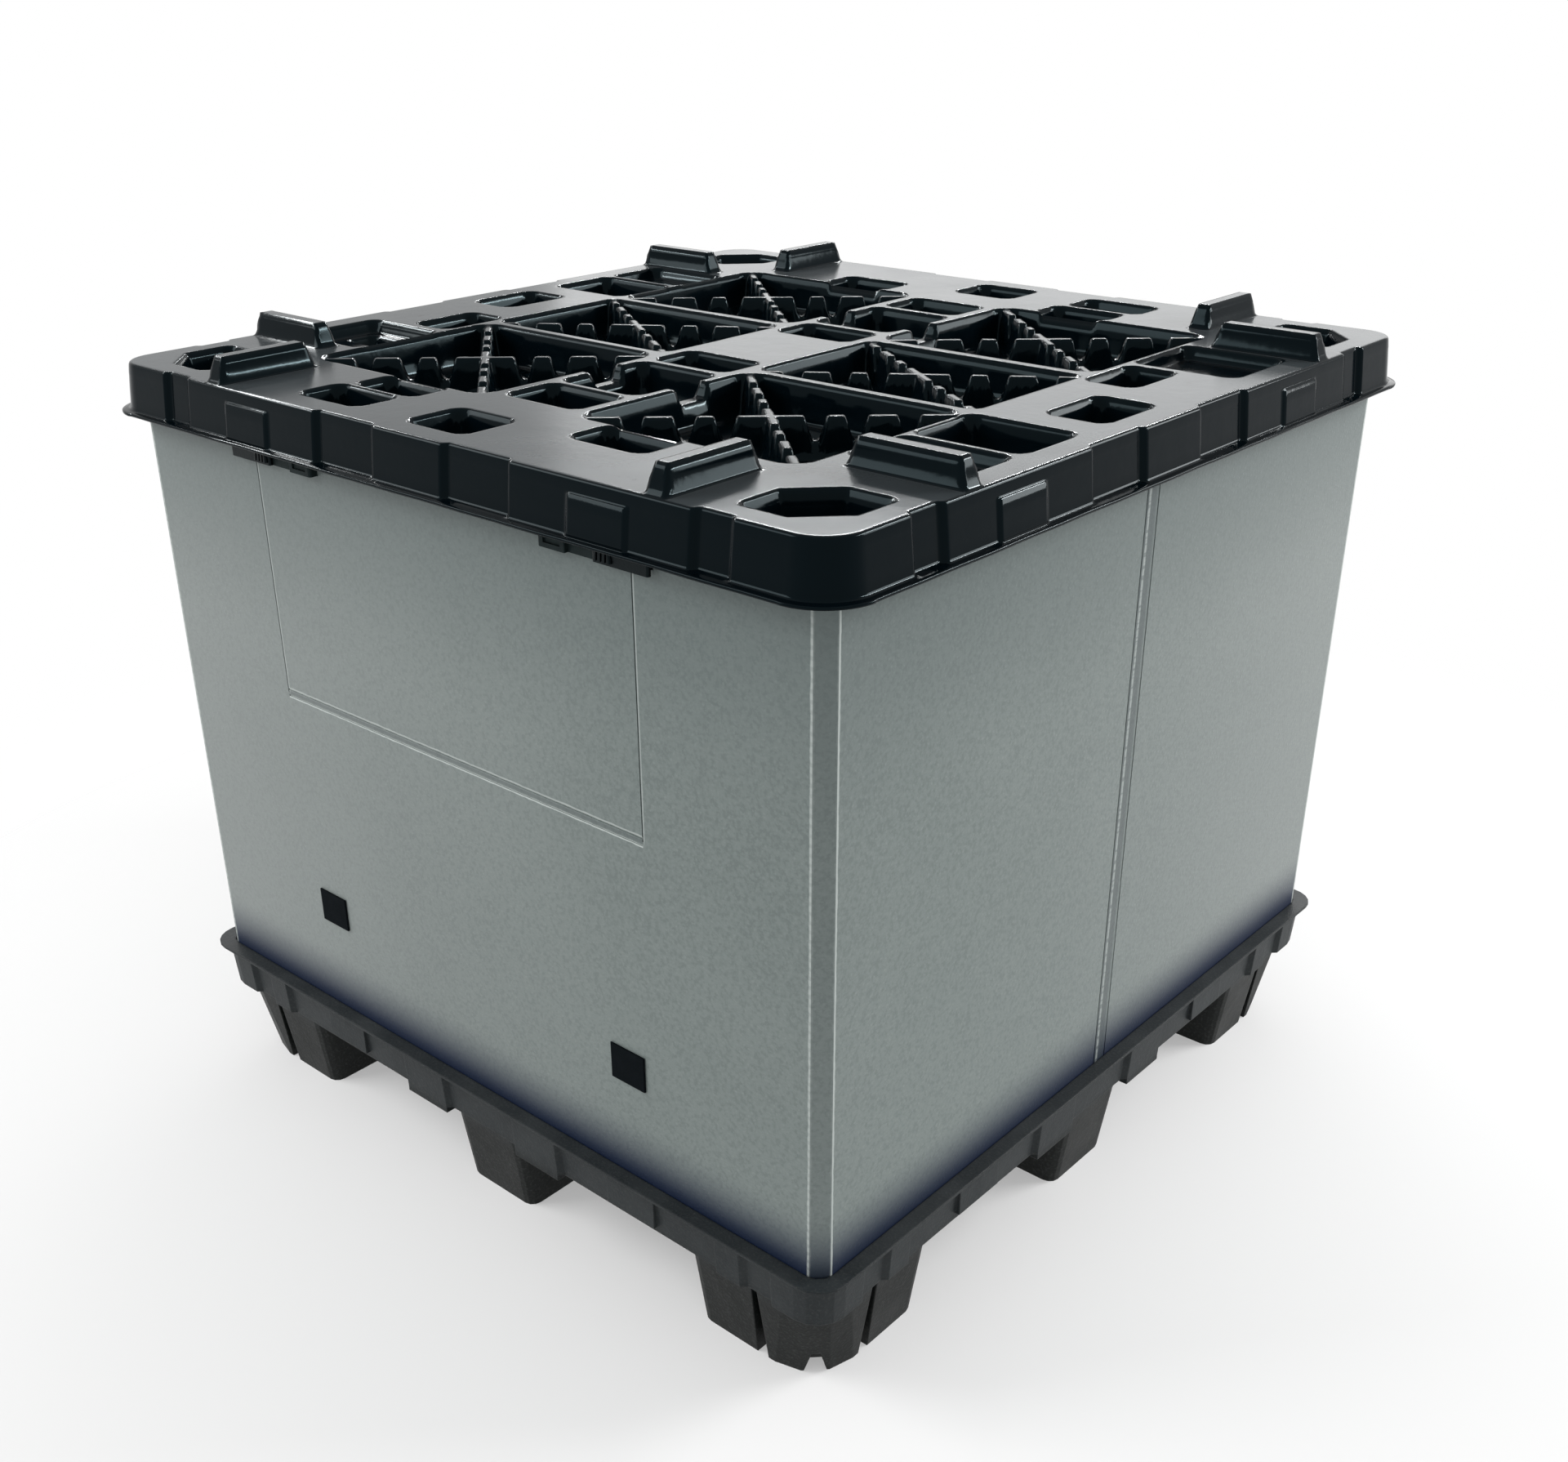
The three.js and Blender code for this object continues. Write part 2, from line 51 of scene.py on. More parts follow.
class Wire:
    """A shader socket that takes part in sums with other wires and with numbers."""

    def __init__(self, tree, socket):
        self.tree, self.socket = tree, socket

    def node(self, kind, inputs=(), output=0, **settings):
        """Any other node: its settings first, then its sockets, fed by wire or value."""
        made = self.tree.nodes.new(kind)
        for key, value in settings.items():
            setattr(made, key, value)
        for key, value in dict(inputs).items():
            if isinstance(value, Wire):
                self.tree.links.new(value.socket, made.inputs[key])
            else:
                made.inputs[key].default_value = value
        return Wire(self.tree, made.outputs[output])

    def maths(self, operation, *values):
        return self.node("ShaderNodeMath", dict(enumerate((self, *values))), operation=operation)

    def __add__(self, other):
        return self.maths("ADD", other)

    __radd__ = __add__

    def __mul__(self, other):
        return self.maths("MULTIPLY", other)

    __rmul__ = __mul__

    def __sub__(self, other):
        return self.maths("SUBTRACT", other)

    def __rsub__(self, other):
        return self.maths("MULTIPLY", -1.0).maths("ADD", other)

    def size(self):
        return self.maths("ABSOLUTE")

    def most(self, other):
        return self.maths("MAXIMUM", other)

    def ramp(self, low, high):
        """0 below low, 1 above high, smooth between."""
        return self.node("ShaderNodeMapRange", {0: self, 1: low, 2: high},
                         interpolation_type="SMOOTHSTEP")

    def near(self, place, width):
        """1 within a fifth of the width from the place, falling smoothly to 0 at half the width."""
        return 1.0 - (self - place).size().ramp(width * 0.2, width * 0.5)

    def within(self, low, high, soft=0.0005):
        """1 between low and high, 0 beyond, with a smooth step of twice soft at each end."""
        return self.ramp(low - soft, low + soft) * (1.0 - self.ramp(high - soft, high + soft))


class Finish:
    """A Principled material that reads its place and direction on the object."""

    def __init__(self, name, color, roughness, **constants):
        self.material = bpy.data.materials.new(name)
        self.material.use_nodes = True
        self.tree = self.material.node_tree
        self.shader = self.tree.nodes["Principled BSDF"]
        self.shader.inputs["Base Color"].default_value = (*color, 1.0)
        self.shader.inputs["Roughness"].default_value = roughness
        for key, value in constants.items():
            self.shader.inputs[key.replace("_", " ")].default_value = value
        coordinates = self.tree.nodes.new("ShaderNodeTexCoord")
        self.place = Wire(self.tree, coordinates.outputs["Object"])
        self.x, self.y, self.z = self.split(self.place)
        self.nx, self.ny, self.nz = self.split(Wire(self.tree, coordinates.outputs["Normal"]))

    def split(self, vector):
        parts = vector.node("ShaderNodeSeparateXYZ", {0: vector})
        return [Wire(self.tree, socket) for socket in parts.socket.node.outputs]

    def noise(self, scale, detail=2.0, place=None):
        """Cloudy noise from 0 to 1, about 0.5; scale is its waves to the metre."""
        return self.place.node("ShaderNodeTexNoise", {
            "Vector": place or self.place, "Scale": scale, "Detail": detail})

    def stretched(self, x, y, z):
        """The place, with each coordinate multiplied."""
        return self.place.node("ShaderNodeVectorMath", {0: self.place, 1: (x, y, z)},
                               operation="MULTIPLY")

    def blend(self, amount, a, b):
        """Colour a where amount is 0, colour b where it is 1, in proportion between."""
        a, b = (colour if isinstance(colour, Wire) else (*colour, 1.0) for colour in (a, b))
        return self.place.node("ShaderNodeMix", {"Factor": amount, 6: a, 7: b}, output=2,
                               data_type="RGBA")

    def feed(self, socket, wire):
        self.tree.links.new(wire.socket, self.shader.inputs[socket])

    def bump(self, height, strength, distance, radius=None):
        """Turns the normal with the slope of the height, on edges rounded by radius if given."""
        inputs = {"Height": height, "Strength": strength, "Distance": distance}
        if radius:
            inputs["Normal"] = self.place.node("ShaderNodeBevel", {"Radius": radius}, samples=4)
        self.feed("Normal", self.place.node("ShaderNodeBump", inputs))


def dress(word, finish):
    """Gives every node whose name starts with the word its finish."""
    for name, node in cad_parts.items():
        if name.startswith(word):
            node.data.materials.clear()
            node.data.materials.append(finish)


def tray_finish():
    """Clouds of wear between two charcoals, a darker tone on the feet below, and a pale grain on top.
    """
    f = Finish("tray_grain", (0.022, 0.025, 0.026), 0.50, Specular_IOR_Level=0.2)
    worn = f.noise(14.0, 5.0)
    grain = f.noise(300.0, 4.0)
    band = f.blend(worn.ramp(0.35, 0.75), TRAY_DARK, TRAY_WORN)
    tone = f.blend(f.z.ramp(FEET_TOP, BAND_FOOT), TRAY_FEET, band)
    f.feed("Base Color", f.blend(grain.ramp(0.48, 0.78) * 0.40, tone, TRAY_GRAIN))
    f.feed("Roughness", 0.40 + worn * 0.22)
    f.bump(grain + f.noise(60.0) * 1.5, 0.35, 0.0010, TRAY_EDGE)
    return f.material


dress("pallet", tray_finish())


# Sleeve
# Silver-grey board pressed from two skins and a honeycomb, folded at the corners and halfway along
# the plain sides, with a drop hatch cut in one side. Folding has stressed its folds white.
SLEEVE_HALF = 0.540
CORNER_FOLD = 0.016         # leg of the folded corner strip
STRIP_EDGE = SLEEVE_HALF - CORNER_FOLD
RIM_TOP = 0.170             # top of the pallet rim
LID_BASE = 0.913            # underside of the lid's flange
HATCH_HALF = 0.303
HINGE = 0.606               # height of the middle of the hatch crease
CREASE_GAP = 0.0052         # from that middle to each of the crease's two lines
CUT_GAP = 0.0018            # from a cut to the white line on its +X side
FOLD_LINE = -0.0060         # along Y: the white line of a plain side's fold, the groove beside it, with painted shade, the dark band over both, and a fainter one that reaches further
FOLD_GROOVE = -0.0105       # the groove beside it,
FOLD_BAND = (-0.0120, 0.0075)       # the bruised band over both,
FOLD_HALO = (-0.0120, 0.0130)       # and a fainter one that reaches further
BAND_SOFT = 0.0015
BEADED_LINE, SMOOTH_LINE = 0.0054, 0.0046   # widths of the white lines at a corner,
CREASE_LINE, CUT_LINE = 0.0040, 0.0026      # at the hatch,
FOLD_WHITE = 0.0058                         # and at a plain fold
CREASE_DARK, GROOVE_DARK = 0.0060, 0.0050   # widths of the painted shade in the crease and the groove
LINE_WANDER = 0.0020
FACING = (0.6, 0.9)         # a side faces an axis where its normal passes these, smoothly
LID_SHADE_DEPTH = 0.26          # how far the painted shade comes down from the lid
RIM_SHADE_TOP = 0.088       # how far the blue shade reaches above the rim
BOARD_DARK, BOARD_LIGHT = (0.168, 0.203, 0.194), (0.200, 0.236, 0.226)
SPECKS = (0.26, 0.295, 0.285)
MOTTLE_LIGHT, MOTTLE_DARK = (0.225, 0.262, 0.252), (0.125, 0.150, 0.148)
CELL_LINES = (0.12, 0.15, 0.15)
DIMPLES = (0.30, 0.34, 0.325)
# the paler tone away from the near corner
PALE_FAR = (0.335, 0.350, 0.345)
# painted shade: the grey-green the board darkens to under the lid
LID_SHADE = (0.080, 0.108, 0.108)
# painted shade: the dark blue the board turns to just above the rim
RIM_SHADE_BLUE = (0.001, 0.009, 0.038)
# painted shade on the folded corner strips
CORNER_SHADE = (0.15, 0.18, 0.18)
# painted shade of the fold's groove and the hatch crease, and the dark fold band
FOLD_DARK = (0.036, 0.050, 0.056)
STRESSED = (0.56, 0.61, 0.59)


def embossing(f):
    """Dimples: the product of two crossed sine waves, bent by noise, in patches of a third noise."""
    slope = (f.x + f.y) * 0.35 + f.z
    across = ((slope * 900.0) + f.noise(34.0) * 11.0).maths("SINE")
    along = (((f.x + f.y) * 760.0 - f.z * 480.0) + f.noise(40.0) * 9.0).maths("SINE")
    return across.ramp(0.0, 1.0) * along.ramp(-0.2, 1.0) * f.noise(70.0, 3.0).ramp(0.40, 0.62)


def stress_lines(f, on_x, on_y, hatch_side):
    """The strongest, at each place, of the white lines: two down each corner, one of them beaded;
    the two of the hatch crease; one beside each cut; and the broken one of each plain fold."""
    wander = (f.noise(90.0) - 0.5) * LINE_WANDER
    beads = ((f.z * 620.0).maths("SINE") + f.noise(130.0) * 1.2).ramp(-0.2, 0.9)
    corner = STRIP_EDGE - 0.001
    beaded = (f.x.size() + wander).near(corner, BEADED_LINE) * on_y * (beads * 0.20 + 0.55)
    smooth = (f.y.size() + wander).near(corner, SMOOTH_LINE) * on_x * 0.85
    upper = (f.z + wander).near(HINGE + CREASE_GAP, CREASE_LINE) * 0.7
    lower = (f.z + wander).near(HINGE - CREASE_GAP, CREASE_LINE)
    crease = upper.most(lower) * f.x.within(-HATCH_HALF, HATCH_HALF)
    right = f.x.near(HATCH_HALF + CUT_GAP, CUT_LINE)
    left = f.x.near(-HATCH_HALF + CUT_GAP, CUT_LINE)
    cuts = right.most(left) * f.z.ramp(HINGE - 0.004, HINGE + 0.004) * 0.5
    broken = f.noise(150.0, 2.0, f.stretched(0.0, 0.0, 1.0)).ramp(0.40, 0.52)
    fold = (f.y + wander).near(FOLD_LINE, FOLD_WHITE) * (broken * 0.35 + 0.2) * on_x
    hatch = (crease * hatch_side).most(cuts * hatch_side)
    return beaded.most(smooth).most(hatch).most(fold)


def fold_shade(f, on_x, hatch_side):
    """The strongest, at each place, of the dark marks: the dark band of a plain fold, and the painted
    shade of its groove and of the middle of the hatch crease."""
    band = f.y.within(*FOLD_BAND, BAND_SOFT).most(f.y.within(*FOLD_HALO, BAND_SOFT) * 0.45)
    fold = (band * 0.82).most(f.y.near(FOLD_GROOVE, GROOVE_DARK)) * on_x
    span = f.x.within(-HATCH_HALF, HATCH_HALF)
    return fold.most(f.z.near(HINGE, CREASE_DARK) * span * hatch_side * 0.6)


def sleeve_finish():
    """Clouded grey under specks, mottle, the lines of the cells and dimples. It is paler away from the
    near corner, with painted shade under the lid, on the corner strips and in dark blue at the rim,
    and its folds marked."""
    f = Finish("sleeve_board", (0.22, 0.26, 0.255), 0.50, Specular_IOR_Level=0.4)
    cloud = f.noise(2.6, 3.0)
    speck = f.noise(420.0, 3.0)
    mottle = f.noise(210.0, 3.0)
    dimples = embossing(f)
    # Slanting lines between the honeycomb's cells, which show through the skin
    cells = f.place.node("ShaderNodeTexVoronoi", {"Vector": f.stretched(1.0, 1.0, 2.4), "Scale": 95.0},
                         feature="DISTANCE_TO_EDGE")
    board = f.blend(cloud.ramp(0.3, 0.7), BOARD_DARK, BOARD_LIGHT)
    board = f.blend(speck.ramp(0.50, 0.80) * 0.35, board, SPECKS)
    board = f.blend(mottle.ramp(0.38, 0.66) * 0.45, board, MOTTLE_LIGHT)
    board = f.blend((1.0 - mottle.ramp(0.34, 0.50)) * 0.35, board, MOTTLE_DARK)
    board = f.blend((1.0 - cells.ramp(0.0, 0.25)) * 0.12, board, CELL_LINES)
    board = f.blend(dimples * 0.20, board, DIMPLES)
    # Paler away from the near corner
    pale = ((f.y - f.x) * 0.5).ramp(-0.48, 0.05)
    board = f.blend(pale * 0.45, board, PALE_FAR)
    # Painted shade: the board darkens towards the lid above it
    high = f.z.ramp(LID_BASE - LID_SHADE_DEPTH, LID_BASE + 0.01)
    board = f.blend(high * 0.52, board, LID_SHADE)
    # Painted shade: dark blue towards the pallet rim
    low = (f.z + cloud * 0.010).ramp(RIM_TOP + 0.004, RIM_TOP + RIM_SHADE_TOP)
    board = f.blend((1.0 - low) * 0.97, board, RIM_SHADE_BLUE)
    on_x, on_y = f.nx.size().ramp(*FACING), f.ny.size().ramp(*FACING)
    hatch_side = (0.0 - f.ny).ramp(*FACING)
    # Painted shade on the folded corner strips, which face neither axis
    strip = f.x.size().within(STRIP_EDGE, SLEEVE_HALF + 0.01) * (1.0 - on_y) * (1.0 - on_x)
    board = f.blend(strip * 0.4, board, CORNER_SHADE)
    # Painted shade in the groove and crease, over the dark fold band
    board = f.blend(fold_shade(f, on_x, hatch_side) * 0.62, board, FOLD_DARK)
    white = stress_lines(f, on_x, on_y, hatch_side)
    f.feed("Base Color", f.blend(white * 0.88, board, STRESSED))
    f.feed("Roughness", 0.42 + speck * 0.16)
    f.bump(cells * 0.6 + speck * 0.25 + dimples * 0.5 - white * 0.8, 0.22, 0.0012)
    return f.material


dress("sleeve", sleeve_finish())


# Latches and keeper pads
# Each latch is a charcoal guide fixed to the hatch and a black slider that bridges the cut, both
# moulded. The thin black squares below are stuck on, where the latches come when the hatch is down.
COOL_TINT = (0.66, 0.92, 1.0, 1.0)      # black plastic mirrors the room a little green and blue


def moulded_finish(name, color, roughness, grain):
    """Patches of the colour and of a lighter tint of it, under a fine grain."""
    f = Finish(name, color, roughness, Specular_IOR_Level=0.12, Specular_Tint=COOL_TINT)
    tint = tuple(c * 1.6 + 0.0008 for c in color)
    f.feed("Base Color", f.blend(f.noise(40.0, 3.0).ramp(0.4, 0.7), color, tint))
    f.feed("Roughness", roughness + f.noise(90.0) * 0.1)
    f.bump(f.noise(grain), 0.25, 0.0006)
    return f.material


dress("latch_guide", moulded_finish("guide_satin", (0.0080, 0.0125, 0.0125), 0.50, 700.0))
dress("latch_slider", moulded_finish("slider_satin", (0.0010, 0.0018, 0.0022), 0.30, 500.0))
dress("keeper_pad", moulded_finish("pad_matt", (0.0008, 0.0012, 0.0020), 0.90, 1200.0))


# Lid
# One glossy black sheet drawn down over a tool: every pocket lip, tooth and stop is a soft bend of
# the same sheet. It is worked out as a height over the plan, and the skirt as a carried profile.
LID_TOP = 0.972
LID_HALF = 0.556            # half width of the top face
PLATE_HALF = 0.530          # the height grid ends here and the skirt begins
GRID = 205                  # steps of the height grid from the middle to PLATE_HALF
CORNER = 7                  # of them, those in a corner of the skirt
SHEET = 0.004
DEEP = 0.040
LIP = 0.0025                # how far a pocket's soft lip reaches outside it
POCKETS = (                 # x0, x1, y0, y1, depth, corner radius; each repeats at the other end
    (-0.057, 0.057, 0.302, 0.374, DEEP, 0.014), (-0.060, 0.060, 0.158, 0.288, DEEP, 0.014),
    (-0.092, 0.092, 0.190, 0.240, 0.018, 0.006), (-0.057, 0.057, 0.078, 0.142, DEEP, 0.014),
    (0.132, 0.238, -0.456, -0.396, DEEP, 0.014), (-0.228, -0.124, -0.448, -0.396, DEEP, 0.014),
    (-0.240, -0.134, -0.516, -0.458, DEEP, 0.014), (-0.046, 0.046, -0.520, -0.446, DEEP, 0.014),
    (0.444, 0.516, -0.072, 0.032, DEEP, 0.014), (0.392, 0.456, 0.086, 0.184, DEEP, 0.014),
    (0.386, 0.518, 0.200, 0.326, 0.016, 0.014), (0.400, 0.504, 0.214, 0.262, 0.034, 0.012),
    (0.386, 0.518, -0.224, -0.122, DEEP, 0.014), (0.386, 0.518, -0.330, -0.236, 0.016, 0.014),
    (0.400, 0.504, -0.318, -0.282, 0.034, 0.012))
CELLS = ((0.076, 0.380, -0.104, 0.104, 0.014), (0.076, 0.380, 0.122, 0.392, 0.026),
         (0.076, 0.380, -0.392, -0.122, 0.026))
CELL_DEPTH = 0.046
NOTCHES = (0.047, 0.090, 0.145)     # the V notches of a rib, from its crossing outwards
NOTCH_HALF, NOTCH_RUN = 0.0135, 0.0115
CROWN_DROP, NOTCH_DROP = 0.002, 0.026
RIB_FLAT, RIB_FLANK = 0.0045, 0.0075    # half width of a rib's crown, and the run of its flanks
RIB_END = 0.012                     # no notch stands nearer than this to a rib's end
CORNER_POCKET = (0.420, 0.520)      # the corner pockets in x and y; each has two corners cut across,
CUT_LINES = (0.882, 0.998)          # where x and y add up to these
CORNER_POCKET_ROUND = 0.010
STOPS = ((0.335, 0.363, 0.420, 0.553, 0.006, 0.013), (0.412, 0.553, 0.335, 0.363, 0.013, 0.006))
STOP_HEIGHT = 0.029
SKIRT_ROUND = 0.044         # corner radius of the skirt
ARC_STEPS = 26
PANELS = ((-1.0, 0.058), (0.155, 0.400), (0.445, 9.0))     # from the middle of a side; mirrored
PANEL_STEP = 0.006          # the panels stand this far out of the skirt between them
PANEL_SOFT = 0.0025         # half the run of that step
BRIM_IN, BRIM_ROUND, BRIM_ROWS = 0.0042, 0.040, 9
# How far out of the top face's edge, and how high above the flange's underside
WALL = ((-0.0026, 0.0587), (-0.0012, 0.0578), (-0.0003, 0.0563), (0.0002, 0.0540),
        (0.0012, 0.0472), (0.0013, 0.0458), (0.0014, 0.0444), (0.0015, 0.0430),
        (0.0030, 0.0300), (0.0042, 0.0180), (0.0052, 0.0080), (0.0060, 0.0050), (0.0080, 0.0040))
FLANGE = ((0.0110, 0.0036), (0.0150, 0.0036), (0.0158, 0.0030), (0.0160, 0.0018),
          (0.0156, 0.0004), (0.0110, 0.0003))
INSIDE = ((0.0040, 0.0008), (0.0025, 0.0040), (0.0010, 0.0200), (-0.0010, 0.0400),
          (-0.0030, 0.0530), (-0.0060, 0.0550))
FLANGE_WAVE = 0.0006
FIELD = (0.240, 0.320, 0.001, LID_TOP - LID_BASE - 0.014)   # the raised field of a panel
FIELD_ROUND, FIELD_EDGE, FIELD_RUN, FIELD_RISE = 0.002, 0.0005, 0.0025, 0.0030
FLANGE_TOP = 0.0045         # the fields end above it
HOLE_X, HOLE_Y = 0.490, 0.146       # two small drilled holes, not cut in the sheet but painted dark as the shade within them
HOLE_SQUARES = (0.0000085, 0.0000110)   # its radius squared, where its soft edge begins and ends
# The top face's paler colour is painted sheen, standing in for its reflection, and partly dust
BARE, SHEEN_AND_DUST = (0.0010, 0.0032, 0.0048), (0.046, 0.054, 0.058)
# painted shade of the holes
HOLE_SHADE = (0.0005, 0.0005, 0.0005)


def soft(t):
    """A smooth step from 0 to 1."""
    t = np.clip(t, 0.0, 1.0)
    return t * t * (3.0 - 2.0 * t)


def outside(x, y, x0, x1, y0, y1, radius):
    """Distance outside a rounded rectangle, negative within."""
    qx = np.abs(x - (x0 + x1) / 2) - (x1 - x0) / 2 + radius
    qy = np.abs(y - (y0 + y1) / 2) - (y1 - y0) / 2 + radius
    return np.hypot(np.maximum(qx, 0), np.maximum(qy, 0)) + np.minimum(np.maximum(qx, qy), 0) - radius


def pressed(distance, depth, wall=0.009):
    """Height of a pocket: 0 outside, -depth within, a soft lip and a soft floor corner."""
    return -depth * soft((LIP - distance) / wall)


def ribbed_cell(x, y, x0, x1, y0, y1, radius):
    """The greater of the pressed floor and of two ribs along the diagonals. A rib's crown is a level
    line that drops within each notch, and its flanks fall smoothly to the floor."""
    floor = pressed(outside(x, y, x0, x1, y0, y1, radius), CELL_DEPTH)
    length = np.hypot(x1 - x0, y1 - y0)
    angle = np.arctan2(y1 - y0, x1 - x0)
    for turn in (angle, -angle):
        dx, dy = x - (x0 + x1) / 2, y - (y0 + y1) / 2
        along = np.abs(dx * np.cos(turn) + dy * np.sin(turn))
        across = np.abs(dy * np.cos(turn) - dx * np.sin(turn))
        notch = np.max([soft((NOTCH_HALF - np.abs(along - n)) / NOTCH_RUN)
                        for n in NOTCHES if n < length / 2 - RIB_END], axis=0)
        crown = -CROWN_DROP - NOTCH_DROP * notch
        rib = crown - (crown + CELL_DEPTH) * soft((across - RIB_FLAT) / RIB_FLANK)
        floor = np.maximum(floor, rib)
    return floor


def lid_height(x, y):
    """Height of the sheet above the lid's top face: the lowest of the pockets and cells at each
    point, and the stops added, each of which rises smoothly from its four sides."""
    height = np.zeros_like(x)
    for sign in (1.0, -1.0):
        for *box, depth, radius in POCKETS:
            height = np.minimum(height, pressed(outside(sign * x, sign * y, *box, radius), depth))
        for cell in CELLS:
            height = np.minimum(height, ribbed_cell(sign * x, sign * y, *cell))
    ax, ay = np.abs(x), np.abs(y)
    cut = np.maximum(CUT_LINES[0] - ax - ay, ax + ay - CUT_LINES[1]) / np.sqrt(2)
    corner = np.maximum(outside(ax, ay, *CORNER_POCKET, *CORNER_POCKET, CORNER_POCKET_ROUND), cut)
    height = np.minimum(height, pressed(corner, DEEP))
    for x0, x1, y0, y1, run_x, run_y in STOPS:
        rise = np.minimum(np.minimum(ax - x0, x1 - ax) / run_x, np.minimum(ay - y0, y1 - ay) / run_y)
        height = height + STOP_HEIGHT * soft(rise)
    return height


def quads(rows, columns, closed=False):
    """Corner numbers of the faces of a grid; a closed one joins its last column to its first."""
    number = np.arange(rows * columns).reshape(rows, columns)
    if closed:
        number = np.hstack([number, number[:, :1]])
    corners = number[:-1, :-1], number[:-1, 1:], number[1:, 1:], number[1:, :-1]
    return np.stack(corners, -1).reshape(-1, 4)


def surface(name, points, faces, finish):
    """A smooth mesh object at the origin, from arrays of points and four-cornered faces."""
    mesh = bpy.data.meshes.new(name)
    mesh.vertices.add(len(points))
    mesh.vertices.foreach_set("co", np.ascontiguousarray(points, np.float32).ravel())
    mesh.loops.add(faces.size)
    mesh.loops.foreach_set("vertex_index", np.ascontiguousarray(faces, np.int32).ravel())
    mesh.polygons.add(len(faces))
    mesh.polygons.foreach_set("loop_start", np.arange(0, faces.size, 4, dtype=np.int32))
    mesh.polygons.foreach_set("use_smooth", np.ones(len(faces), bool))
    mesh.update(calc_edges=True)
    mesh.validate()
    mesh.materials.append(finish)
    piece = bpy.data.objects.new(name, mesh)
    bpy.context.scene.collection.objects.link(piece)
    return piece


def on_lid(piece):
    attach(piece, "lid")
    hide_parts("lid")


def lid_finish():
    """Bare black, with a paler film on the top face only, in patches, which is painted sheen and
    partly dust, and the drilled holes as painted shade.
    """
    f = Finish("lid_gloss", (0.004, 0.005, 0.005), 0.18, Specular_IOR_Level=0.065,
               Specular_Tint=COOL_TINT)
    haze = f.noise(7.0, 4.0)
    # Painted sheen, partly dust: paler where the top face looks up, in patches
    sheen_and_dust = f.nz.ramp(0.90, 1.0) * f.z.ramp(LID_TOP - 0.004, LID_TOP - 0.001) * (0.55 + haze * 0.8)
    from_x, from_y = f.x.size() - HOLE_X, f.y.size() - HOLE_Y
    same_end = (f.x * f.y).ramp(-0.0001, 0.0001)
    hole = (1.0 - (from_x * from_x + from_y * from_y).ramp(*HOLE_SQUARES)) * same_end
    f.feed("Base Color", f.blend(hole, f.blend(sheen_and_dust, BARE, SHEEN_AND_DUST), HOLE_SHADE))
    f.feed("Roughness", 0.07 + haze * 0.07 + sheen_and_dust * 0.10)
    f.bump(f.noise(150.0, 2.0) * 0.4 + f.noise(28.0, 2.0) * 2.0, 0.10, 0.0010)
    return f.material


def plate_quarters(finish):
    """The top face: the height grid in four quarters, each with its underside one sheet lower."""
    line = np.linspace(0.0, PLATE_HALF, GRID + 1)
    for word, sx, sy in (("front_right", 1, -1), ("back_right", 1, 1), ("back_left", -1, 1),
                         ("front_left", -1, -1)):
        x, y = np.meshgrid(np.sort(sx * line), np.sort(sy * line))
        top = np.stack([x, y, LID_TOP + lid_height(x, y)], -1).reshape(-1, 3)
        faces = quads(*x.shape)
        points = np.vstack([top, top - (0, 0, SHEET)])
        both = np.vstack([faces, faces[:, ::-1] + len(top)])
        on_lid(surface("lid_plate_" + word, points, both, finish))


def ring(half, radius, step, wave=0.0, sharp=False):
    """Points round a square of the given half width: rounded corners, or sharp ones with the same
    points, and sides that step in by step between the panels of the skirt. A trimmed edge wanders
    by wave, as the product of two sines along it."""
    straight = LID_HALF - SKIRT_ROUND
    t = np.linspace(-straight, straight, 2 * (GRID - CORNER), endpoint=False)
    panel = np.max([soft((np.minimum(np.abs(t) - a, b - np.abs(t)) + PANEL_SOFT) / (2 * PANEL_SOFT))
                    for a, b in PANELS], axis=0)
    inset = step * (1.0 - panel) + wave * (1.0 + np.sin(t * 41.0) * np.sin(t * 17.0 + 1.0))
    side = np.stack([t / straight * (half - radius), -half + inset], -1)
    turn = np.linspace(-np.pi / 2, 0.0, ARC_STEPS, endpoint=False)
    arc = np.stack([np.cos(turn), np.sin(turn)], -1)
    if sharp:
        arc /= np.abs(arc).max(axis=1, keepdims=True)
    bend = radius * arc + (half - radius, radius - half)
    one = np.vstack([side, bend])
    quarter = np.array([[0.0, 1.0], [-1.0, 0.0]])
    return np.vstack([one @ np.linalg.matrix_power(quarter, k) for k in range(4)])


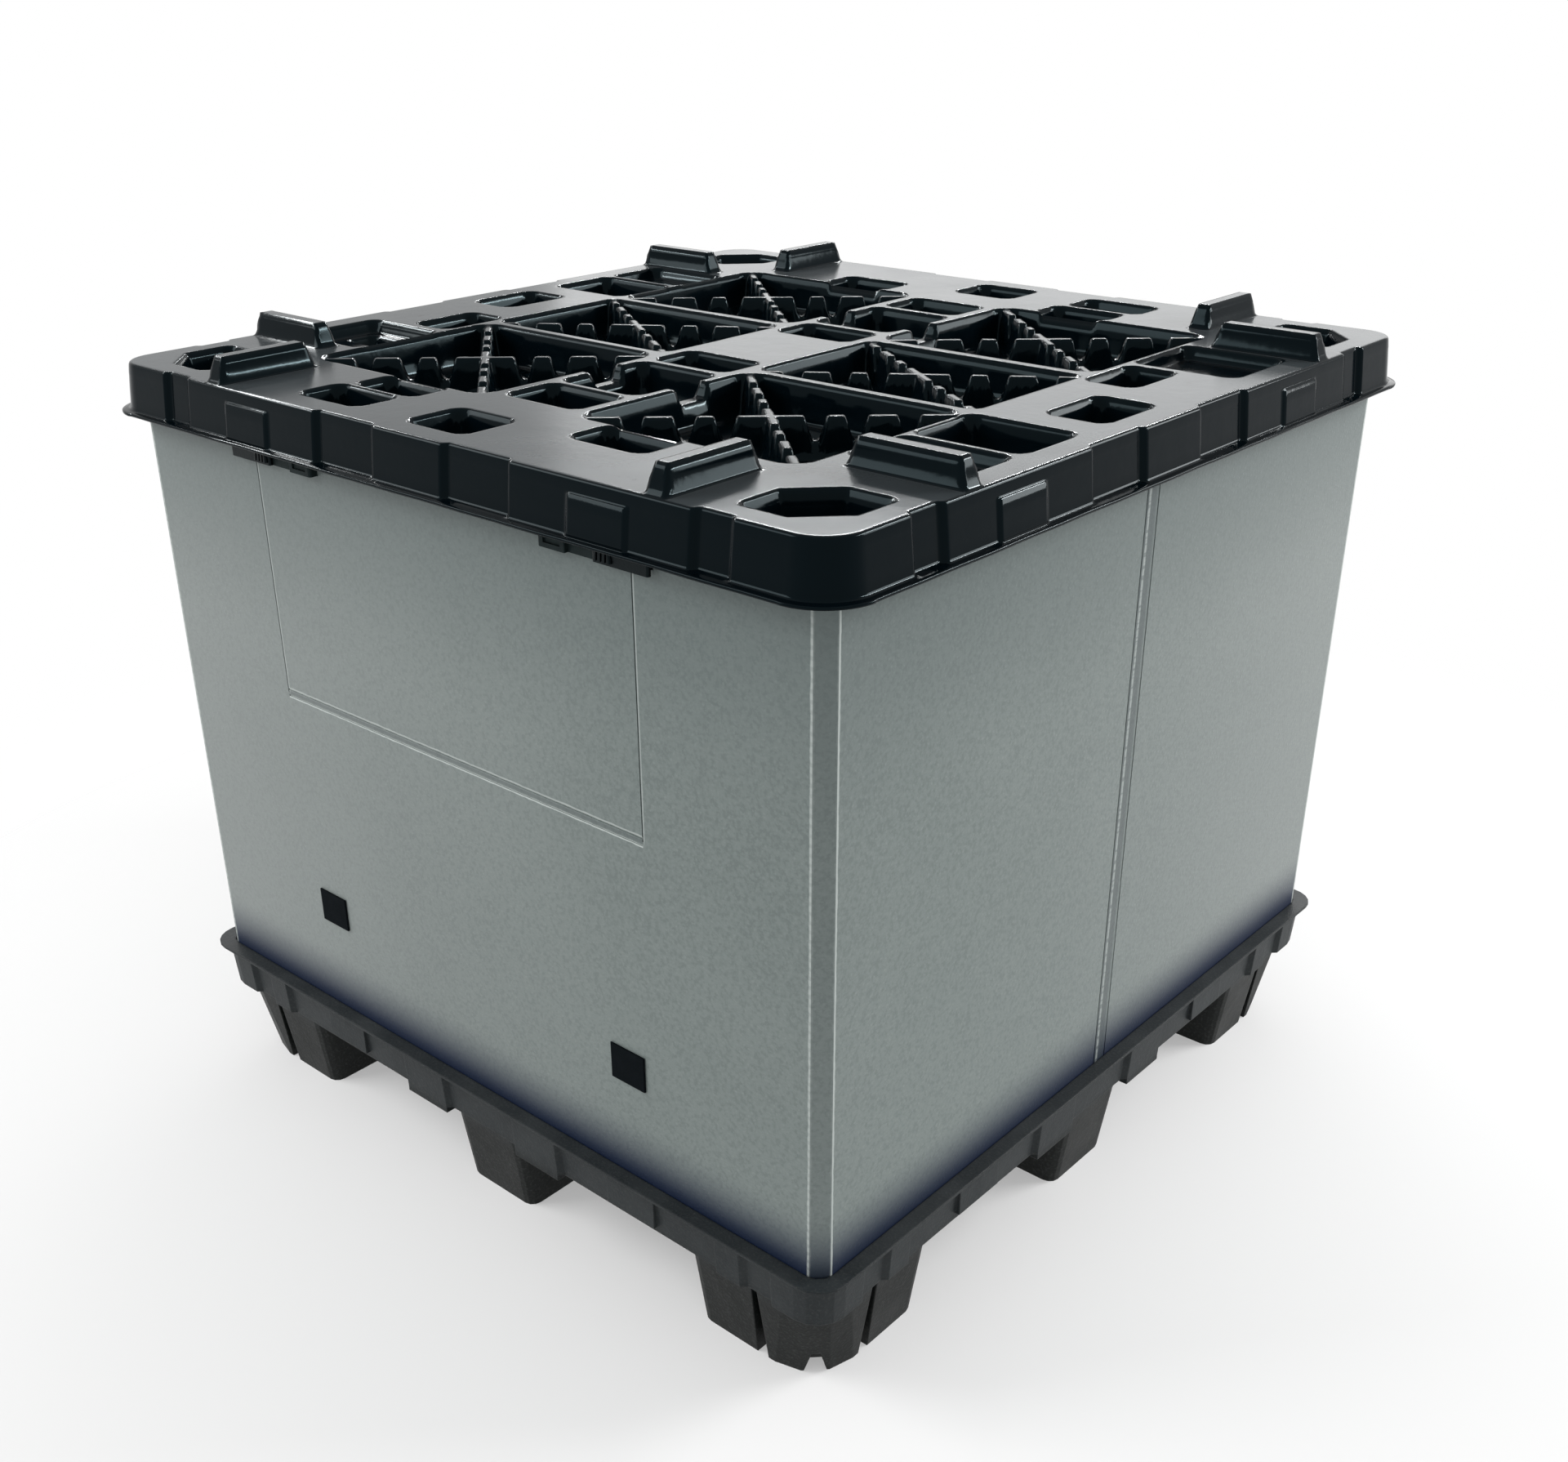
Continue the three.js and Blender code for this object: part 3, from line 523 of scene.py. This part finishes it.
def skirt(finish):
    """One grid from the plate's edge over the brim, down the panelled wall, out round the flange and
    back up the inside to the plate's underside, one sheet lower."""
    inner = ring(PLATE_HALF, PLATE_HALF * CORNER / GRID, 0.0, sharp=True)
    brim = ring(LID_HALF - BRIM_IN, BRIM_ROUND, PANEL_STEP)
    plan = [inner * (1 - share) + brim * share for share in np.linspace(0.0, 1.0, BRIM_ROWS)]
    rows = [np.column_stack([row, lid_height(row[:, 0], row[:, 1]) + LID_TOP]) for row in plan]
    for profile, step, wave in ((WALL, PANEL_STEP, 0.0), (FLANGE, 0.0, FLANGE_WAVE),
                                (INSIDE, PANEL_STEP, 0.0)):
        for out, up in profile:
            line = ring(LID_HALF + out, SKIRT_ROUND + out, step, wave)
            rows.append(np.column_stack([line, np.full(len(line), LID_BASE + up)]))
    # The brim's underside takes every second row of its top, from the last but one inwards
    rows += [row - (0, 0, SHEET) for row in rows[BRIM_ROWS - 2::-2]] + [rows[0] - (0, 0, SHEET)]
    points = np.vstack(rows)
    # Raised fields on the outer panels, blended into the wall, one side after another
    for _ in range(4):
        t, depth, up = points[:, 0], -points[:, 1], points[:, 2] - LID_BASE
        field = outside(np.abs(t), up, *FIELD, FIELD_ROUND)
        on_wall = (depth > LID_HALF - 0.002) * (up > FLANGE_TOP)
        raised = soft((FIELD_EDGE - field) / FIELD_RUN) * on_wall
        points[:, 1] -= FIELD_RISE * raised
        points[:, :2] = points[:, :2] @ np.array([[0.0, 1.0], [-1.0, 0.0]])
    faces = quads(len(rows), len(rows[0]), closed=True)[:, ::-1]
    on_lid(surface("lid_skirt", points, faces, finish))


gloss = lid_finish()
plate_quarters(gloss)
skirt(gloss)


# Camera
# A pinhole fitted to the photograph. The turn is world to camera (x right, y down, z ahead), as an
# axis times its angle, and the centre is where the axis meets the picture.
PHOTO_WIDTH, PHOTO_HEIGHT = 1920, 1790
FOCAL_PX = 2117.4
CENTRE_X_PX, CENTRE_Y_PX = 929.7, 1015.7
EYE = (1.4185, -1.6107, 1.4059)
TURN = Vector((1.9409, 0.7318, -0.4588))

lens = bpy.data.cameras.new("camera")
camera = bpy.data.objects.new("camera", lens)
bpy.context.scene.collection.objects.link(camera)
to_camera = Matrix.Rotation(TURN.length, 3, TURN.normalized())
from_camera = (Matrix.Diagonal((1, -1, -1)) @ to_camera).transposed().to_4x4()
camera.matrix_world = Matrix.Translation(EYE) @ from_camera
lens.sensor_fit = "HORIZONTAL"
lens.sensor_width = 36.0
lens.lens = FOCAL_PX / PHOTO_WIDTH * lens.sensor_width
lens.shift_x = (PHOTO_WIDTH / 2 - CENTRE_X_PX) / PHOTO_WIDTH
lens.shift_y = (CENTRE_Y_PX - PHOTO_HEIGHT / 2) / PHOTO_WIDTH
lens.clip_end = 60.0
bpy.context.scene.camera = camera


# Floor and surroundings
# A white floor that keeps the shadow and thins out into a white room, so that no edge shows. The
# room lights the part a little less than it shows.
FLOOR_HALF = 5.0
FLOOR_COVER = 0.65          # how much of the room the floor hides near the part,
FLOOR_FADE = (0.85, 2.0)    # and the distances over which that falls to nothing
ROOM_LIGHT, ROOM_SHOWN = 0.62, 1.0

corners = [(sx * FLOOR_HALF, sy * FLOOR_HALF, 0.0) for sx, sy in ((-1, -1), (1, -1), (1, 1), (-1, 1))]
sheet = bpy.data.meshes.new("floor")
sheet.from_pydata(corners, [], [(0, 1, 2, 3)])
floor = bpy.data.objects.new("floor", sheet)
bpy.context.scene.collection.objects.link(floor)
white_floor = Finish("floor_white", (0.93, 0.93, 0.93), 0.9)
paint = white_floor.blend(white_floor.noise(2.0), (0.93, 0.93, 0.93), (0.94, 0.94, 0.94))
white_floor.feed("Base Color", paint)
away = (white_floor.x * white_floor.x + white_floor.y * white_floor.y).maths("SQRT")
white_floor.feed("Alpha", FLOOR_COVER - away.ramp(*FLOOR_FADE) * FLOOR_COVER)
sheet.materials.append(white_floor.material)

room = bpy.data.worlds.new("surroundings")
bpy.context.scene.world = room
room.use_nodes = True
room.node_tree.nodes.clear()
path = room.node_tree.nodes.new("ShaderNodeLightPath")
seen = Wire(room.node_tree, path.outputs["Is Camera Ray"]).most(
    Wire(room.node_tree, path.outputs["Is Glossy Ray"])).most(
    Wire(room.node_tree, path.outputs["Is Transmission Ray"]))
light = seen.node("ShaderNodeBackground", {"Color": (1.0, 1.0, 1.0, 1.0), "Strength": ROOM_LIGHT})
plain = seen.node("ShaderNodeBackground", {"Color": (1.0, 1.0, 1.0, 1.0), "Strength": ROOM_SHOWN})
shown = seen.node("ShaderNodeMixShader", {0: seen, 1: light, 2: plain})
output = room.node_tree.nodes.new("ShaderNodeOutputWorld")
room.node_tree.links.new(shown.socket, output.inputs["Surface"])


# Lamps
# A soft key over the hatch side and one over the plain side, a low window behind that shines on the
# lid at a glance, and three narrow strips, seen in gloss alone, for the bright lines along its lips.
MIDDLE = (0.0, 0.0, 0.5)
LID_MIDDLE = (0.0, 0.0, 0.97)
LAMPS = (       # name, place, target, size, watts, and whether it shows only in gloss
    ("key", (-2.3, -2.4, 2.8), MIDDLE, (2.2, 1.4), 73.0, False),
    ("side", (2.4, 2.6, 2.2), (0.3, 0.3, 0.5), (1.6, 1.4), 90.0, False),
    ("window", (-1.9, 4.0, 1.95), (0.3, 0.0, 0.97), (4.2, 1.1), 21.0, False),
    ("strip_back", (-1.4, 2.6, 2.7), LID_MIDDLE, (2.6, 0.08), 115.0, True),
    ("strip_left", (-2.6, -0.2, 2.5), LID_MIDDLE, (2.4, 0.08), 50.0, True),
    ("strip_right", (2.3, 1.9, 2.6), LID_MIDDLE, (2.0, 0.08), 80.0, True))
for name, place, target, (width, depth), watts, gloss_only in LAMPS:
    lamp = bpy.data.lights.new(name, "AREA")
    lamp.shape = "RECTANGLE"
    lamp.size, lamp.size_y = width, depth
    lamp.energy = watts
    stand = bpy.data.objects.new(name, lamp)
    bpy.context.scene.collection.objects.link(stand)
    aim = (Vector(place) - Vector(target)).to_track_quat("Z", "Y").to_matrix().to_4x4()
    stand.matrix_world = Matrix.Translation(place) @ aim
    stand.visible_diffuse = not gloss_only

bpy.context.scene.view_settings.view_transform = "Standard"
